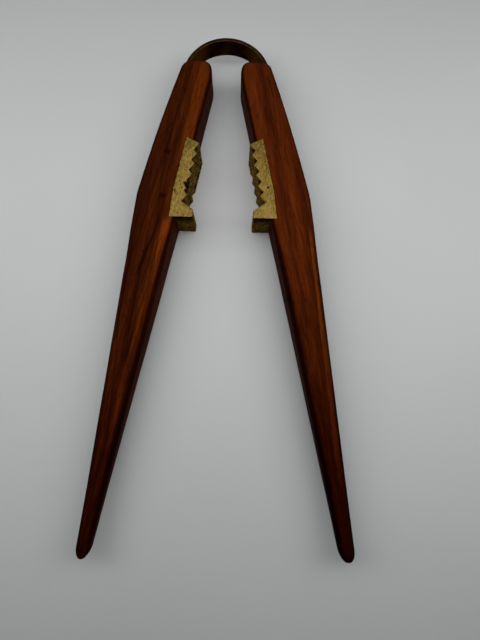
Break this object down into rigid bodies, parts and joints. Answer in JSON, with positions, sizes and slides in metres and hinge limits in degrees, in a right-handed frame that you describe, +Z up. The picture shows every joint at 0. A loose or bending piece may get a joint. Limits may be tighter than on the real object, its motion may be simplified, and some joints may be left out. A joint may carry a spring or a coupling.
{
  "type": "sprung nutcracking tongs",
  "caption": "Two tapered hardwood levers joined by a bent brass spring band, with toothed brass jaws that close on a nut.",
  "frame": {"origin": "on the resting plane, on the plane of symmetry, half way between the crown of the spring and the tips of the handles", "axes": "+Z up through the thickness with the tongs lying on their back faces, +Y along the tongs towards the spring, +X towards the right lever"},
  "size_m": [0.1004, 0.2016, 0.018],
  "materials": {
    "oiled_hardwood": "oiled",
    "cast_brass": "cast, faces filed flat",
    "spring_brass": "rolled, tarnished",
    "brass_pin": "drawn",
    "steel_dowel": "ground"
  },
  "bodies": {
    "spring": {"spring_band": "spring_brass"},
    "left_lever": {"left_handle": "oiled_hardwood", "left_jaw": "cast_brass", "left_spring_pin": "brass_pin", "left_jaw_upper_pin": "steel_dowel", "left_jaw_lower_pin": "steel_dowel"},
    "right_lever": {"right_handle": "oiled_hardwood", "right_jaw": "cast_brass", "right_spring_pin": "brass_pin", "right_jaw_upper_pin": "steel_dowel", "right_jaw_lower_pin": "steel_dowel"}
  },
  "joints": [
    {"name": "left_squeeze", "type": "hinge", "parent": "spring", "child": "left_lever", "pos_m": [-0.0095, 0.0957, 0.009], "axis": [0, 0, 1], "range_deg": [-6, 9], "stiffness_Nm_per_rad": 9.1, "deforming": ["spring_band"]},
    {"name": "right_squeeze", "type": "hinge", "parent": "spring", "child": "right_lever", "pos_m": [0.0095, 0.0957, 0.009], "axis": [0, 0, 1], "range_deg": [-9, 6], "stiffness_Nm_per_rad": 9.1, "deforming": ["spring_band"]}
  ],
  "couplings": [
    {"joint": "right_squeeze", "follows": "left_squeeze", "ratio": -1}
  ]
}
